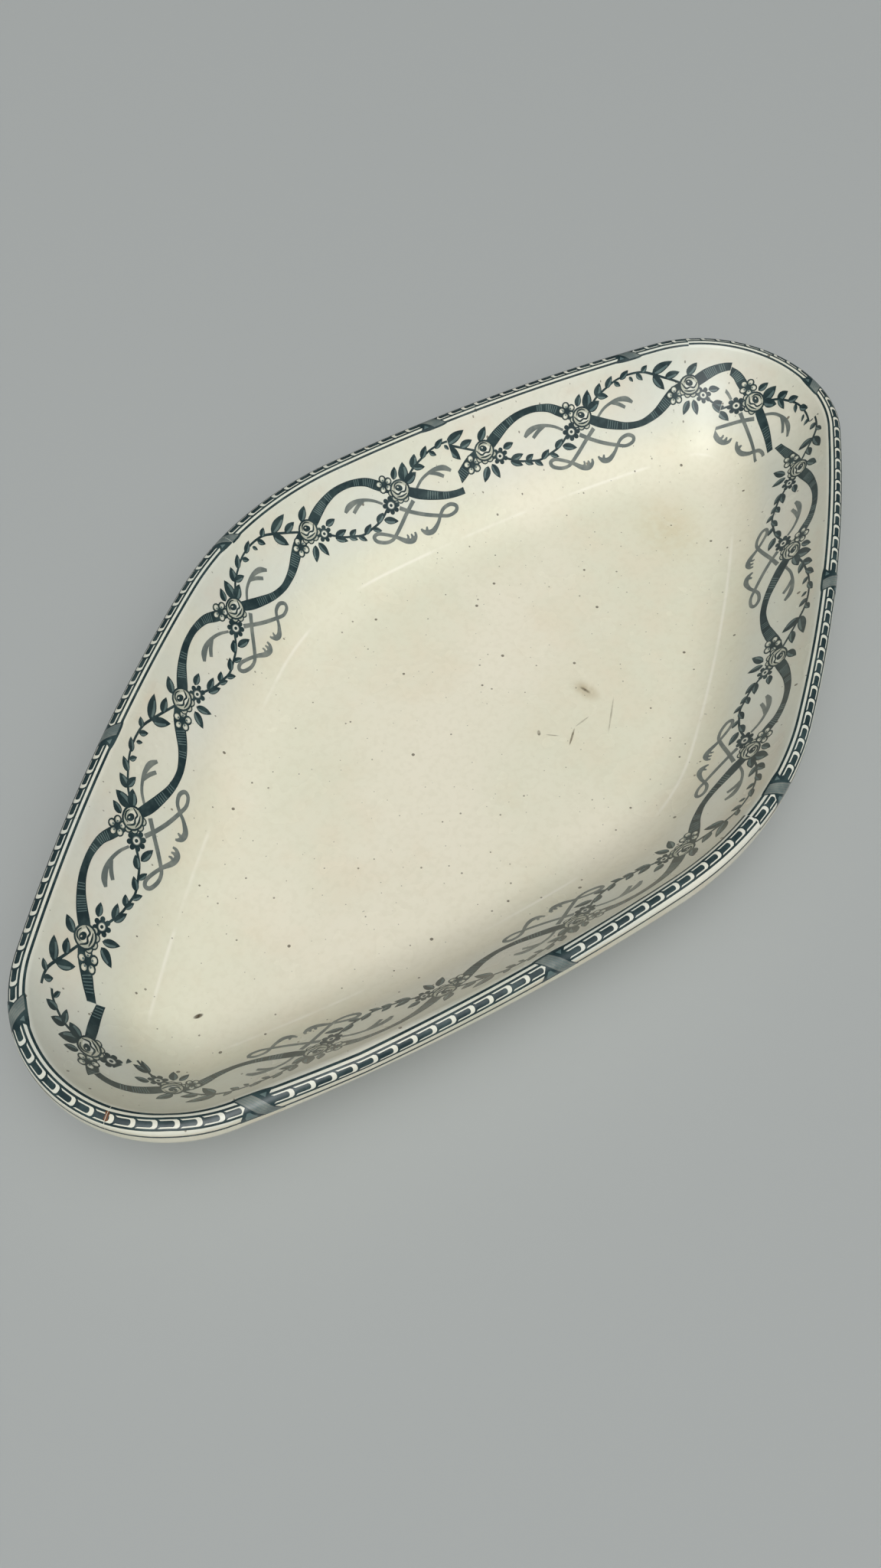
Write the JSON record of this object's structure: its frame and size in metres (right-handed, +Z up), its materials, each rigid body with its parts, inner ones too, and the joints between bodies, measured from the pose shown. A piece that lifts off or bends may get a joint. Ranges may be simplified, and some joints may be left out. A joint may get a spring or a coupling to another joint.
{
  "type": "appetizer dish",
  "caption": "Shallow lozenge-shaped earthenware serving dish with a rolled lip, sloping walls, a foot ring and a printed ribbon border and garland.",
  "frame": {"origin": "on the table, under the middle of the dish", "axes": "+X along the long diagonal, +Y along the short diagonal, +Z up out of the well"},
  "size_m": [0.2735, 0.1495, 0.0345],
  "materials": {
    "cream_glaze": "gloss",
    "bare_biscuit": "matte",
    "teal_print": "gloss"
  },
  "bodies": {
    "root": {"dish_body": "cream_glaze", "foot_ring": "bare_biscuit", "border_strip_1": "teal_print", "border_strip_2": "teal_print", "border_strip_3": "teal_print", "border_strip_4": "teal_print", "garland_strip_1": "teal_print", "garland_strip_2": "teal_print", "garland_strip_3": "teal_print", "garland_strip_4": "teal_print", "garland_strip_5": "teal_print"}
  },
  "joints": []
}
